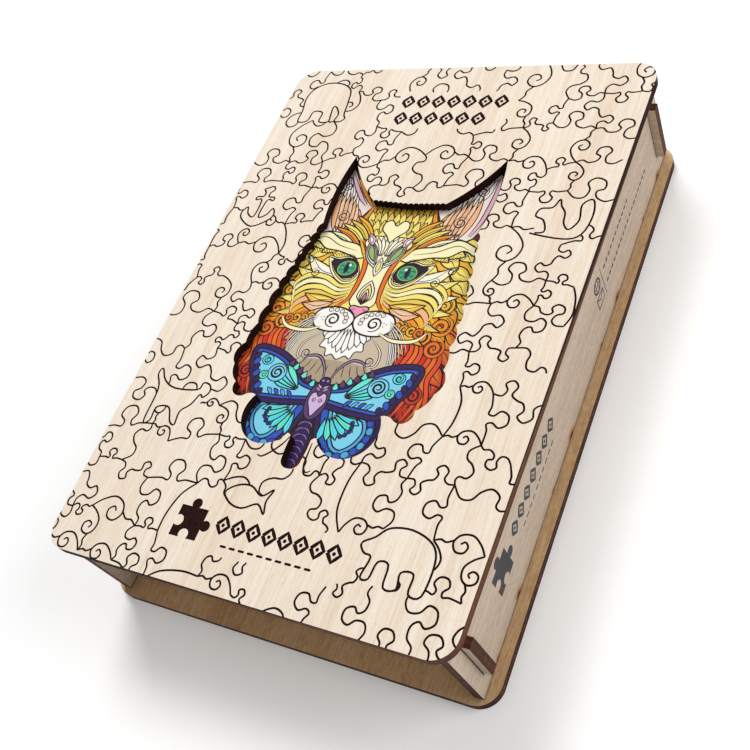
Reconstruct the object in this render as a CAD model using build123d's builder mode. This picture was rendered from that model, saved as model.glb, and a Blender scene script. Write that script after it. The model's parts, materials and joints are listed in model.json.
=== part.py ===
from build123d import *
import math
import os

os.makedirs("parts", exist_ok=True)

# A wooden jigsaw box, cut from one thickness of plywood. Millimetres.
# Origin: centre of the base plate's underside. +X towards the printed side wall, +Y up the picture, +Z up.

# Driving dimensions
ply = 4.0
plate_width = 170.0
plate_length = 248.0
plate_corner = 9.0
wall_height = 43.0

# Long walls: outer faces this far inside the plates' edges, ends this far inside their short edges
side_overhang = 4.4
wall_end_inset = 3.0
tab_width = 23.0
tab_pitch = 63.4
long_wall_tabs = 4

# Short walls: housed between the long walls, with tenons through them that stand proud
short_wall_face = 114.5
tenon_height = 26.0
tenon_proud = 3.2
short_wall_tabs = 2

# Lid: battens under it drop inside the walls
batten_height = 8.0
batten_clearance = 0.5
panel_thickness = 1.5
panel_width = 132.0
panel_length = 184.0
panel_corner = 5.0

# Jigsaw: lies made up on the base plate
jigsaw_columns = 6
jigsaw_rows = 8
jigsaw_clearance = 1.4
kerf = 0.2
knob_radius = 3.4
knob_reach = 3.1
neck_radius = 1.2
knob_wander = 2.2

# Worked out from those
wall_bottom = ply
wall_top = wall_bottom + wall_height
wall_middle = wall_bottom + wall_height / 2
long_wall_outer = plate_width / 2 - side_overhang
long_wall_inner = long_wall_outer - ply
long_wall_length = plate_length - 2 * wall_end_inset
short_wall_inner = short_wall_face - ply
short_wall_middle = short_wall_face - ply / 2
tenon_tip = long_wall_outer + tenon_proud
long_tab_places = [tab_pitch * (n - (long_wall_tabs - 1) / 2) for n in range(long_wall_tabs)]
short_tab_places = [tab_pitch * (n - (short_wall_tabs - 1) / 2) for n in range(short_wall_tabs)]


# Base plate, slotted for the walls' tabs
with BuildPart() as base_plate:
    with BuildSketch():
        RectangleRounded(plate_width, plate_length, plate_corner)
        for side in (-1, 1):
            with Locations([(side * (long_wall_outer - ply / 2), y) for y in long_tab_places]):
                Rectangle(ply, tab_width, mode=Mode.SUBTRACT)
            with Locations([(x, side * short_wall_middle) for x in short_tab_places]):
                Rectangle(tab_width, ply, mode=Mode.SUBTRACT)
    extrude(amount=ply)
base_plate.part.label = "base_plate"
export_step(base_plate.part, "parts/base_plate.step")


# Long walls: tabs below, a slot near each end for a short wall's tenon
for name, inner_face in (("long_wall_left", -long_wall_outer), ("long_wall_right", long_wall_inner)):
    with BuildPart() as long_wall:
        with BuildSketch(Plane.YZ.offset(inner_face)):
            with Locations((0, wall_middle)):
                Rectangle(long_wall_length, wall_height)
            with Locations([(y, wall_bottom / 2) for y in long_tab_places]):
                Rectangle(tab_width, ply)
            with Locations([(end * short_wall_middle, wall_middle) for end in (-1, 1)]):
                Rectangle(ply, tenon_height, mode=Mode.SUBTRACT)
        extrude(amount=ply)
    long_wall.part.label = name
    export_step(long_wall.part, f"parts/{name}.step")


# Short walls: a tenon at each end, tabs below
for name, outer_face in (("short_wall_front", short_wall_face), ("short_wall_back", -short_wall_inner)):
    with BuildPart() as short_wall:
        with BuildSketch(Plane.XZ.offset(outer_face)):
            with Locations((0, wall_middle)):
                Rectangle(2 * long_wall_inner, wall_height)
                Rectangle(2 * tenon_tip, tenon_height)
            with Locations([(x, wall_bottom / 2) for x in short_tab_places]):
                Rectangle(tab_width, ply)
        extrude(amount=-ply)
    short_wall.part.label = name
    export_step(short_wall.part, f"parts/{name}.step")


# Window in the lid: a cat's head over a butterfly, the same both sides of its own centre line.
# Each row is a corner of the right half and the bulge of the arc that leads to it, from the crown down.
window_centre = 2.6
crown_scallops = 7
crown_end = 16.5
crown_height = 46.5
window_corners = [
    (crown_end * n / crown_scallops, crown_height + n / crown_scallops, 0.6)
    for n in range(crown_scallops + 1)
] + [
    (35.0, 71.5, -1.6),
    (35.2, 34.5, 1.9),
    (36.2, 29.5, 1.1),
    (36.8, 24.5, 1.2),
    (38.2, 18.5, 1.2),
    (38.8, 12.5, 1.2),
    (40.3, 6.5, 1.2),
    (40.8, 0.5, 1.3),
    (41.6, -8.0, 1.5),
    (42.2, -17.0, 1.4),
    (43.4, -26.5, 0.9),
    (43.6, -36.5, 2.3),
    (39.0, -44.0, 1.1),
    (31.8, -48.6, 3.4),
    (27.2, -48.2, -0.6),
    (6.2, -61.0, 12.6),
    (4.4, -62.2, -0.3),
    (4.1, -70.6, 0.2),
    (0.0, -74.4, 1.3),
]


def window_outline(corners):
    """The right half's arcs and the closing line, in the line builder that is open."""
    for (x0, y0, _), (x1, y1, bulge) in zip(corners, corners[1:]):
        if bulge == 0:
            Line((x0, y0), (x1, y1))
        else:
            SagittaArc((x0, y0), (x1, y1), bulge)
    Line(corners[-1][:2], corners[0][:2])


with BuildPart() as lid_plate:
    with BuildSketch(Plane.XY.offset(wall_top)):
        RectangleRounded(plate_width, plate_length, plate_corner)
    extrude(amount=ply)
    with BuildSketch(Plane((window_centre, 0, wall_top))):
        with BuildLine():
            window_outline(window_corners)
        make_face()
        mirror(about=Plane.YZ)
    extrude(amount=ply, mode=Mode.SUBTRACT)
lid_plate.part.label = "lid_plate"
export_step(lid_plate.part, "parts/lid_plate.step")


# Printed picture, glued under the window
with BuildPart() as picture_panel:
    with BuildSketch(Plane.XY.offset(wall_top)):
        RectangleRounded(panel_width, panel_length, panel_corner)
    extrude(amount=-panel_thickness)
picture_panel.part.label = "picture_panel"
export_step(picture_panel.part, "parts/picture_panel.step")


# Battens: the side pair runs full length, the end pair fits between them
side_batten = long_wall_inner - batten_clearance - ply / 2
end_batten = short_wall_inner - batten_clearance - ply / 2
battens = {
    "lid_batten_left": ((-side_batten, 0), (ply, 2 * end_batten + ply)),
    "lid_batten_right": ((side_batten, 0), (ply, 2 * end_batten + ply)),
    "lid_batten_front": ((0, -end_batten), (2 * side_batten - ply, ply)),
    "lid_batten_back": ((0, end_batten), (2 * side_batten - ply, ply)),
}
for name, (middle, size) in battens.items():
    with BuildPart() as batten:
        with BuildSketch(Plane.XY.offset(wall_top)):
            with Locations(middle):
                Rectangle(*size)
        extrude(amount=-batten_height)
    batten.part.label = name
    export_step(batten.part, f"parts/{name}.step")


# Jigsaw pieces. Every joint between two pieces is one round knob, wandering a little along the edge.
jigsaw_width = 2 * (long_wall_inner - jigsaw_clearance)
jigsaw_length = 2 * (short_wall_inner - jigsaw_clearance)
cell_width = jigsaw_width / jigsaw_columns
cell_length = jigsaw_length / jigsaw_rows


def knob_between(row, column, upright):
    """The direction and the place along its edge of the knob on the right or the far side of a cell."""
    direction = 1 if (row * column + 2 * row // 3 + column // 2 + upright) % 2 else -1
    place = knob_wander * math.sin(2.1 * row + 3.7 * column + 1.3 * upright)
    return direction, place


def knobs_round(row, column):
    """The middles of a piece's own tabs and of the sockets for its neighbours' tabs, from its centre."""
    tabs, sockets = [], []
    for cell, upright, side in (
        ((row, column), True, 1),
        ((row, column - 1), True, -1),
        ((row, column), False, 1),
        ((row - 1, column), False, -1),
    ):
        last = jigsaw_columns - 1 if upright else jigsaw_rows - 1
        if 0 <= cell[1 if upright else 0] < last:
            direction, place = knob_between(*cell, upright)
            reach = side * (cell_width if upright else cell_length) / 2 + direction * knob_reach
            middle = (reach, place) if upright else (place, reach)
            (tabs if direction == side else sockets).append(middle)
    return tabs, sockets


for row in range(jigsaw_rows):
    for column in range(jigsaw_columns):
        name = f"jigsaw_piece_r{row + 1}c{column + 1}"
        centre_x = cell_width * (column + 0.5) - jigsaw_width / 2
        centre_y = cell_length * (row + 0.5) - jigsaw_length / 2
        tabs, sockets = knobs_round(row, column)
        with BuildPart() as piece:
            with BuildSketch(Plane((centre_x, centre_y, ply))) as outline:
                Rectangle(cell_width - kerf, cell_length - kerf)
                if tabs:
                    with Locations(tabs):
                        Circle(knob_radius - kerf / 2)
                if sockets:
                    with Locations(sockets):
                        Circle(knob_radius + kerf / 2, mode=Mode.SUBTRACT)
                by_distance = outline.vertices().sort_by_distance((0, 0, 0))
                fillet(by_distance[:-4], neck_radius)
            extrude(amount=ply)
        piece.part.label = name
        export_step(piece.part, f"parts/{name}.step")
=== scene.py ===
import bpy
import json
import math
import random
import numpy as np
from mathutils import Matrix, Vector
from mathutils.geometry import delaunay_2d_cdt

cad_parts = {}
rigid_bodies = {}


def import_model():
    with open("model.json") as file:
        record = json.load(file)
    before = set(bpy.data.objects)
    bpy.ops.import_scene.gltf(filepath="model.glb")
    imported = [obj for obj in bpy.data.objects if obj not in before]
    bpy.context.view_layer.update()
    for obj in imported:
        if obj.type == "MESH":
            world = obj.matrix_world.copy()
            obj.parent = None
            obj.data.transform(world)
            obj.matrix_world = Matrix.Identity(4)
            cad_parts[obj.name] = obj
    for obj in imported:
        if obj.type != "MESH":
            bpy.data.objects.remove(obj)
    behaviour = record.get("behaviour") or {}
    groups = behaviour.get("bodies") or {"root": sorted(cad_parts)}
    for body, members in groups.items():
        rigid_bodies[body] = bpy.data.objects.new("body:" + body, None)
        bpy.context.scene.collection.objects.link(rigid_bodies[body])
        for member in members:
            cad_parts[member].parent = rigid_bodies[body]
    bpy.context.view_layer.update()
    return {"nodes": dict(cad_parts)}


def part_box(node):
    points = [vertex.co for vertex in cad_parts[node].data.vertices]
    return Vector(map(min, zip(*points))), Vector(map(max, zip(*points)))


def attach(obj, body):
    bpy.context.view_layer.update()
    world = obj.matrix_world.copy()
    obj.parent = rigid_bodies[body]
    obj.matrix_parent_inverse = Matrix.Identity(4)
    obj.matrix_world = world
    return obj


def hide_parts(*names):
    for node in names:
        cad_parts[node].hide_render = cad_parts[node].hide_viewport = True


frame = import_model()
nodes = frame["nodes"]
mm = 0.001

lidLow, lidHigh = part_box("lid_plate")
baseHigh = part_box("base_plate")[1]
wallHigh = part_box("long_wall_right")[1]
jigsawNames = sorted(name for name in nodes if name.startswith("jigsaw_piece"))
print("frame loaded:", len(nodes), "nodes")


# shader sums: a socket that can be added, multiplied and compared

class Value:
    def __init__(self, recipe, socket):
        self.recipe = recipe
        self.socket = socket

    def math(self, operation, *others):
        inputs = dict(enumerate((self,) + others))
        return self.recipe.add("ShaderNodeMath", {"operation": operation}, inputs)

    def __add__(self, other):
        return self.math("ADD", other)

    def __mul__(self, other):
        return self.math("MULTIPLY", other)

    def __sub__(self, other):
        return self.math("SUBTRACT", other)

    def __rsub__(self, other):
        return self.recipe.add("ShaderNodeMath", {"operation": "SUBTRACT"}, {0: other, 1: self})

    def __truediv__(self, other):
        return self.math("DIVIDE", other)

    def __gt__(self, other):
        return self.math("GREATER_THAN", other)

    def __lt__(self, other):
        return self.math("LESS_THAN", other)

    def __abs__(self):
        return self.math("ABSOLUTE")

    __radd__ = __add__
    __rmul__ = __mul__


class Recipe:  # one material and the nodes it is made of
    def __init__(self, name, **fixed):
        self.material = bpy.data.materials.new(name)
        self.material.use_nodes = True
        self.tree = self.material.node_tree
        self.tree.nodes.clear()
        self.shader = self.tree.nodes.new("ShaderNodeBsdfPrincipled")
        output = self.tree.nodes.new("ShaderNodeOutputMaterial")
        self.tree.links.new(self.shader.outputs[0], output.inputs[0])
        self.finish(fixed)

    def feed(self, socket, value):
        if isinstance(value, Value):
            self.tree.links.new(value.socket, socket)
        elif socket.type == "RGBA" and len(value) == 3:
            socket.default_value = (*value, 1)
        else:
            socket.default_value = value

    def add(self, kind, settings, inputs, output=0):
        node = self.tree.nodes.new(kind)
        for name, value in settings.items():
            if name == "stops":
                ramp = node.color_ramp.elements
                while len(ramp) < len(value):
                    ramp.new(0.5)
                for element, (place, colour) in zip(ramp, value):
                    element.position = place
                    element.color = (*colour, 1)
            else:
                setattr(node, name, value)
        for name, value in inputs.items():
            self.feed(node.inputs[name], value)
        return Value(self, node.outputs[output])

    def finish(self, inputs):
        for name, value in inputs.items():
            self.feed(self.shader.inputs[name], value)

    def where(self):  # the point's own place, in millimetres
        place = self.add("ShaderNodeTexCoord", {}, {}, "Object")
        return self.add("ShaderNodeVectorMath", {"operation": "SCALE"}, {0: place, "Scale": 1 / mm})

    def split(self, vector):
        node = self.tree.nodes.new("ShaderNodeSeparateXYZ")
        self.feed(node.inputs[0], vector)
        return [Value(self, socket) for socket in node.outputs]

    def facing(self):  # how squarely the surface faces X, Y and Z
        return [abs(part) for part in self.split(self.add("ShaderNodeNewGeometry", {}, {}, "Normal"))]

    def noise(self, vector, scales, detail=3, rough=0.55, seed=0.0, twist=0.0):
        place = (seed, seed * 1.7, seed * 0.6)
        moved = self.add("ShaderNodeMapping", {}, {0: vector, "Scale": scales, "Location": place})
        inputs = {"Vector": moved, "Scale": 1.0, "Detail": detail, "Roughness": rough, "Distortion": twist}
        return self.add("ShaderNodeTexNoise", {}, inputs)

    def between(self, value, low, high, start=0.0, end=1.0):
        inputs = {0: value, 1: low, 2: high, 3: start, 4: end}
        return self.add("ShaderNodeMapRange", {"interpolation_type": "SMOOTHSTEP"}, inputs)

    def mix(self, factor, first, second, blend="MIX"):
        node = self.tree.nodes.new("ShaderNodeMix")
        node.data_type = "RGBA"
        node.blend_type = blend
        for socket, value in zip((node.inputs[0], node.inputs[6], node.inputs[7]), (factor, first, second)):
            self.feed(socket, value)
        return Value(self, node.outputs[2])

    def bump(self, height, distance, strength=1.0):
        inputs = {"Height": height, "Distance": distance, "Strength": strength}
        return self.add("ShaderNodeBump", {}, inputs)


def linear(red, green, blue):  # screen colour, 0 to 255, to the shader's
    parts = [part / 255 for part in (red, green, blue)]
    return tuple(p / 12.92 if p <= 0.04045 else ((p + 0.055) / 1.055) ** 2.4 for p in parts)


# plywood: a veneer face, and edges that the laser scorched

plywood = {
    "lid": {"pale": (253, 241, 224), "dark": (236, 213, 187), "pore": (186, 140, 108), "streaks": 0.4,
            "mottle": 0.15, "char": 0.6},
    "wall": {"pale": (205, 188, 170), "dark": (173, 152, 130), "pore": (132, 106, 84), "streaks": 0.15,
             "mottle": 0.5, "char": 0.8},
    "base": {"pale": (220, 187, 145), "dark": (182, 143, 99), "pore": (104, 74, 48), "streaks": 0.1,
             "mottle": 0.5, "char": 0.9},
    "inside": {"pale": (214, 190, 160), "dark": (178, 146, 112), "pore": (120, 88, 62), "streaks": 0.5,
               "mottle": 0.1, "char": 0.8},
}
burnt = {
    "stain": linear(168, 104, 52), "brown": linear(126, 76, 40), "light": linear(108, 60, 34),
    "mid": linear(72, 30, 18), "dark": linear(22, 8, 6),
}
sheetThickness = (lidHigh.z - lidLow.z) / mm
tabs = {"pitch": 63.4, "half": 11.6}  # where the long walls' tabs enter the base
shortLow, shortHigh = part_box("short_wall_front")
shortWall = nodes["short_wall_front"].data.vertices
tenonHeights = [v.co.z / mm for v in shortWall if v.co.x > shortHigh.x - 0.1 * mm]
tenon = {
    "place": -(shortLow.y + shortHigh.y) / 2 / mm, "thick": (shortHigh.y - shortLow.y) / mm,
    "middle": (min(tenonHeights) + max(tenonHeights)) / 2, "high": max(tenonHeights) - min(tenonHeights),
}


def plyMaterial(name, finish, thickness, sheetStart, grain="Y", seam=None):
    look = plywood[finish]
    recipe = Recipe(name, **{"Specular IOR Level": 0.3})
    where = recipe.where()
    axes = recipe.split(where)
    facing = recipe.facing()
    sheet = "XYZ".index(thickness)
    along = "XYZ".index(grain)

    def stretched(across, length):  # noise scales for a figure this wide and this long, in millimetres
        return tuple(1 / length if n == along else 1 / across for n in range(3))

    # the veneer: long fibres, broader streaks, slow bands and short pores
    fibres = recipe.noise(where, stretched(0.35, 14), 4, 0.6, 3.1)
    streaks = recipe.noise(where, stretched(2.6, 90), 3, 0.6, 8.7, 0.4)
    bands = recipe.noise(where, stretched(17, 260), 2, 0.5, 1.3, 0.3)
    pores = recipe.noise(where, stretched(0.22, 2.6), 2, 0.5, 5.9)
    mottle = recipe.noise(where, stretched(1.1, 3.2), 4, 0.7, 4.6, 0.5)
    tone = streaks * look["streaks"] + fibres * 0.4 + bands * 0.3 + mottle * look["mottle"]
    middle = (look["streaks"] + look["mottle"] + 0.7) / 2
    tone = recipe.between(tone, middle - 0.16, middle + 0.2)
    veneer = recipe.mix(tone, linear(*look["pale"]), linear(*look["dark"]))
    lines = recipe.noise(where, stretched(1.3, 150), 2, 0.5, 12.4, 0.2)
    flecks = recipe.noise(where, stretched(0.4, 0.8), 2, 0.5, 15.1)
    marks = recipe.between(pores, 0.64, 0.74) * 0.5 + recipe.between(abs(lines - 0.5), 0.0, 0.02, 0.22, 0.0)
    marks = (marks + recipe.between(flecks, 0.66, 0.74) * 0.3).math("MINIMUM", 0.7)
    veneer = recipe.mix(marks, veneer, linear(*look["pore"]))

    # the cut edge: three plies and their glue lines, scorched unevenly
    depth = abs(axes[sheet] - (sheetStart + sheetThickness / 2)) / (sheetThickness / 2)
    core = recipe.between(depth, 0.40, 0.46, 1.0, 0.0)
    glue = recipe.between(abs(depth - 0.44), 0.03, 0.10, 1.0, 0.0)
    cutScale = tuple(1 / 9 if n == sheet else 1 / 0.5 for n in range(3))
    cuts = recipe.noise(where, cutScale, 3, 0.7, 2.2)
    soot = recipe.noise(where, (0.12, 0.12, 0.3), 3, 0.6, 6.4)
    edge = recipe.mix(recipe.between(cuts, 0.35, 0.7), burnt["dark"], burnt["mid"])
    edge = recipe.mix(core * recipe.between(cuts, 0.4, 0.62), edge, burnt["light"])
    edge = recipe.mix(glue * 0.8, edge, burnt["dark"])
    edge = recipe.mix(recipe.between(soot, 0.40, 0.62) * 0.75, edge, burnt["dark"])
    edge = recipe.mix(look["char"], burnt["brown"], edge)

    if seam is not None:  # smoke stains where the tabs enter the base, a dark line along the joint, and a painted shadow round the tenon's slot
        tab = axes[1].math("WRAP", tabs["pitch"], 0.0) - tabs["pitch"] / 2
        along, rise = abs(tab) - tabs["half"], axes[2] - seam
        wobble = recipe.noise(where, (0.8, 0.8, 0.8), 3, 0.6, 1.9)
        gap = (along * along + rise * rise).math("SQRT") / ((tab > 0) * 0.9 + 1.0) + wobble * 1.1
        veneer = recipe.mix(recipe.between(gap, 1.5, 2.9, 0.8, 0.0), veneer, burnt["stain"])
        veneer = recipe.mix(recipe.between(gap, 1.0, 1.7, 0.95, 0.0), veneer, burnt["dark"])
        joint = recipe.between(rise + wobble * 0.4, 0.45, 1.1, 0.85, 0.0)
        veneer = recipe.mix(joint, veneer, burnt["mid"])
        beside = abs(abs(axes[1]) - tenon["place"]) - tenon["thick"] / 2  # the distance from the tenon's slot, for the painted shadow of the gap round it
        above = abs(axes[2] - tenon["middle"]) - tenon["high"] / 2
        # painted shadow: a dark line round the tenon's slot, where the gap between slot and tenon lies in
        # shade
        slotGapShade = beside.math("MAXIMUM", above) + wobble * 0.4
        veneer = recipe.mix(recipe.between(slotGapShade, 0.5, 1.0, 0.85, 0.0), veneer, burnt["dark"])

    isEdge = facing[sheet] < 0.5
    recipe.finish({
        "Base Color": recipe.mix(isEdge, veneer, edge),
        "Roughness": recipe.between(fibres + isEdge * 0.3, 0.2, 0.9, 0.58, 0.86),
        "Normal": recipe.bump(fibres * 0.6 + pores * 0.25 + cuts * isEdge * 1.5, 0.06 * mm, 0.7),
    })
    return recipe.material


def charredMaterial():
    recipe = Recipe("charredCut", **{"Specular IOR Level": 0.15, "Roughness": 0.9})
    where = recipe.where()
    ash = recipe.noise(where, (1.4, 1.4, 1.4), 3, 0.6, 4.4)
    recipe.finish({
        "Base Color": recipe.mix(recipe.between(ash, 0.35, 0.7), linear(24, 8, 6), linear(52, 21, 15)),
        "Normal": recipe.bump(ash, 0.08 * mm),
    })
    return recipe.material


def printMaterial(name, gloss, grainDepth):
    recipe = Recipe(name, **{"Specular IOR Level": 0.1})
    where = recipe.where()
    ink = recipe.add("ShaderNodeAttribute", {"attribute_name": "ink"}, {}, "Color")
    fibres = recipe.noise(where, (1 / 0.3, 1 / 9, 1), 3, 0.6, 7.3)
    mottle = recipe.noise(where, (0.5, 0.5, 0.5), 3, 0.6, 2.5)
    worn = recipe.between(fibres * 0.6 + mottle * 0.4, 0.3, 0.75) * grainDepth
    facing = recipe.facing()
    edge = recipe.noise(where, (1 / 0.5, 1 / 0.5, 1 / 9), 3, 0.7, 2.2)
    side = recipe.mix(recipe.between(edge, 0.3, 0.7), burnt["dark"], burnt["mid"])
    recipe.finish({
        "Base Color": recipe.mix(facing[2] < 0.5, recipe.mix(worn, ink, linear(250, 238, 220)), side),
        "Roughness": recipe.between(mottle, 0.3, 0.7, gloss - 0.06, gloss + 0.08),
        "Normal": recipe.bump(fibres, 0.03 * mm, 0.5),
    })
    return recipe.material


def inkMaterial():
    recipe = Recipe("greyInk", **{"Specular IOR Level": 0.3})
    where = recipe.where()
    patches = recipe.noise(where, (1.1, 0.7, 2.4), 4, 0.6, 9.2)
    worn = recipe.between(patches, 0.4, 0.75) * 0.5
    recipe.finish({
        "Base Color": recipe.mix(worn, linear(50, 51, 55), linear(96, 92, 88)),
        "Roughness": recipe.between(patches, 0.3, 0.7, 0.5, 0.7),
    })
    return recipe.material


# loops and paths, in millimetres

def smoothPath(points, steps=6, closed=False):  # a curve through the points
    points = [Vector(p) for p in points]
    count = len(points)
    found = []
    for n in range(count if closed else count - 1):
        if closed:
            a, b, c, d = (points[(n + k) % count] for k in (-1, 0, 1, 2))
        else:
            a, b, c, d = (points[min(max(n + k, 0), count - 1)] for k in (-1, 0, 1, 2))
        for step in range(steps):
            t = step / steps
            found.append(0.5 * (2 * b + (c - a) * t + (2 * a - 5 * b + 4 * c - d) * t * t
                                + (3 * b - a - 3 * c + d) * t ** 3))
    return found if closed else found + [points[-1]]


def smoothLoop(points, steps=5):
    return smoothPath(points, steps, True)


def turned(x, y, angle, middle=(0, 0)):  # the point turned by this many degrees, then moved to the middle
    a = math.radians(angle)
    return Vector((middle[0] + x * math.cos(a) - y * math.sin(a),
                   middle[1] + x * math.sin(a) + y * math.cos(a)))


def around(middle, wide, high, angle):  # the point of an oval at this angle, in degrees
    a = math.radians(angle)
    return middle[0] + wide * math.cos(a), middle[1] + high * math.sin(a)


def oval(middle, wide, high, tilt=0.0, count=28):
    corners = [around((0, 0), wide, high, 360 * n / count) for n in range(count)]
    return [turned(x, y, tilt, middle) for x, y in corners]


def petal(root, tip, width, bend=0.0, belly=0.55, steps=4):  # a leaf, widest at its belly
    root, tip = Vector(root), Vector(tip)
    line = tip - root
    side = Vector((-line.y, line.x)).normalized()
    low = root + line * belly * 0.5 + side * bend * 0.75
    middle = root + line * belly + side * bend
    high = root + line * (0.5 + belly / 2) + side * bend * 0.7
    half = side * width / 2
    left = smoothPath([root, low + half * 0.8, middle + half, high + half * 0.62, tip], steps)
    right = smoothPath([tip, high - half * 0.62, middle - half, low - half * 0.8, root], steps)
    return left[:-1] + right[:-1]


def curl(middle, radius, turns, start=0.0, hand=1, tight=0.18, count=14):  # a spiral, from outside in
    total = int(count * turns)
    found = []
    for n in range(total + 1):
        t = n / total
        r = radius * (1 - (1 - tight) * t)
        found.append(Vector(around(middle, r, r, start + hand * 360 * turns * t)))
    return found


def mirrored(points):
    return [Vector((-p[0], p[1])) for p in points]


def area(loop):
    return sum(a[0] * b[1] - b[0] * a[1] for a, b in zip(loop, loop[1:] + loop[:1])) / 2


def swell(loop, amount):  # the loop moved outwards by amount, or inwards
    hand = 1 if area(loop) > 0 else -1
    found = []
    for n, point in enumerate(loop):
        line = loop[(n + 1) % len(loop)] - loop[n - 1]
        if line.length > 0:
            found.append(point + Vector((line.y, -line.x)).normalized() * amount * hand)
    return found


def ribbon(path, width, taper=1.0):  # four-sided faces along a path; taper thins both ends
    rights, lefts = [], []
    last = len(path) - 1
    for n, point in enumerate(path):
        line = path[min(n + 1, last)] - path[max(n - 1, 0)]
        if line.length == 0:
            line = Vector((1, 0))
        ease = min(1.0, taper + (1 - taper) * min(n, last - n) / max(last * 0.35, 1))
        side = Vector((-line.y, line.x)).normalized() * width / 2 * ease
        lefts.append(point + side)
        rights.append(point - side)
    return [[rights[n], rights[n + 1], lefts[n + 1], lefts[n]] for n in range(last)]


def topmost(centres, loops):  # for each point, the last loop that holds it, or -1
    found = np.full(len(centres), -1)
    order = np.argsort(centres[:, 1])
    heights = centres[order, 1]
    for number in range(len(loops) - 1, -1, -1):
        loop = np.array([p[:2] for p in loops[number]])
        low, high = loop.min(0), loop.max(0)
        near = order[slice(*np.searchsorted(heights, (low[1], high[1])))]
        across = centres[near, 0]
        near = near[(across >= low[0]) & (across <= high[0]) & (found[near] < 0)]
        if len(near):
            x, y = centres[near, 0][:, None], centres[near, 1][:, None]
            after = np.roll(loop, -1, 0)
            rise = np.where(after[:, 1] == loop[:, 1], 1e-9, after[:, 1] - loop[:, 1])
            crossing = (loop[:, 1] > y) != (after[:, 1] > y)
            left = x < (after[:, 0] - loop[:, 0]) * (y - loop[:, 1]) / rise + loop[:, 0]
            found[near[(crossing & left).sum(1) % 2 == 1]] = number
    return found


def triangulate(points, edges):  # triangles that keep to the edges, and the middle of each
    corners, _, faces, _, _, _ = delaunay_2d_cdt(points, edges, [], 0, 1e-6, False)
    corners = [Vector(corner) for corner in corners]
    flat = np.array([corner[:] for corner in corners])
    return corners, faces, flat[np.array(faces)].mean(1)


def flatten(loops):  # cuts overlapping loops into triangles
    points, edges = [], []
    for loop in loops:
        first, count = len(points), len(loop)
        edges += [(first + n, first + (n + 1) % count) for n in range(count)]
        points += [Vector(p[:2]) for p in loop]
    return triangulate(points, edges)


def merge(corners, faces, marks):  # the same again with fewer triangles, cut only where the marks differ
    faces = np.array(faces)
    sides = np.sort(np.concatenate([faces[:, pair] for pair in ([0, 1], [1, 2], [2, 0])]), 1)
    marks = np.tile(marks, 3)
    order = np.lexsort(sides.T)
    sides, marks = sides[order], marks[order]
    kept = (sides[1:] == sides[:-1]).all(1) & (marks[1:] != marks[:-1])
    used, edges = np.unique(sides[1:][kept], return_inverse=True)
    return triangulate([corners[v] for v in used], edges.reshape(-1, 2).tolist())


def covered(loops):  # the loops' own area, overlaps merged
    corners, faces, middles = flatten(loops)
    inside = [face for face, top in zip(faces, topmost(middles, loops)) if top >= 0]
    used = sorted({v for face in inside for v in face})
    number = {v: n for n, v in enumerate(used)}
    return [corners[v] for v in used], [[number[v] for v in face] for face in inside]


# mesh work

def deselectAll():
    for thing in bpy.context.view_layer.objects:
        thing.select_set(False)


def pick(piece):
    deselectAll()
    piece.select_set(True)
    bpy.context.view_layer.objects.active = piece


def newPiece(name, corners, faces, materials):
    mesh = bpy.data.meshes.new(name)
    mesh.from_pydata([tuple(part * mm for part in corner) for corner in corners], [], faces)
    piece = bpy.data.objects.new(name, mesh)
    bpy.context.scene.collection.objects.link(piece)
    for material in materials:
        mesh.materials.append(material)
    return piece


def outlines(node, height):  # the closed outlines of a CAD node's flat top, the largest first
    mesh = nodes[node].data
    used = {}
    place = {}
    for face in mesh.polygons:
        if face.normal.z > 0.9 and abs(face.center.z - height) < 0.1 * mm:
            keys = []
            for index in face.vertices:
                point = mesh.vertices[index].co
                key = (round(point.x / mm, 3), round(point.y / mm, 3))
                place[key] = Vector(key)
                keys.append(key)
            for a, b in zip(keys, keys[1:] + keys[:1]):
                used[(a, b)] = used.get((a, b), 0) + 1
    following = {a: b for a, b in used if (b, a) not in used}
    loops = []
    while following:
        first = key = next(iter(following))
        loop = []
        while key in following:
            loop.append(place[key])
            key = following.pop(key)
        loops.append(loop)
    return sorted(loops, key=lambda loop: -abs(area(loop)))


def closed(piece):  # ends the edit of a solid, its faces turned outwards
    bpy.ops.mesh.select_all(action="SELECT")
    bpy.ops.mesh.normals_make_consistent(inside=False)
    bpy.ops.object.mode_set(mode="OBJECT")
    return piece


def slab(name, corners, faces, low, high, materials):  # a flat sheet of faces made a closed solid
    piece = newPiece(name, [(c[0], c[1], high) for c in corners], faces, materials)
    pick(piece)
    bpy.ops.object.mode_set(mode="EDIT")
    bpy.ops.mesh.select_all(action="SELECT")
    bpy.ops.mesh.extrude_region_move(TRANSFORM_OT_translate={"value": (0, 0, (low - high) * mm)})
    return closed(piece)


def board(name, corners, faces, low, high, materials):  # the same, with one plain face underneath
    piece = newPiece(name, [(c[0], c[1], high) for c in corners], faces, materials)
    pick(piece)
    bpy.ops.object.mode_set(mode="EDIT")
    bpy.ops.mesh.select_mode(type="EDGE")
    bpy.ops.mesh.select_all(action="DESELECT")
    bpy.ops.mesh.select_non_manifold()
    bpy.ops.mesh.extrude_edges_move(TRANSFORM_OT_translate={"value": (0, 0, (low - high) * mm)})
    bpy.ops.mesh.edge_face_add()
    return closed(piece)


# the printed picture: a cat's head over a butterfly, symmetrical about x = 0

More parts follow.
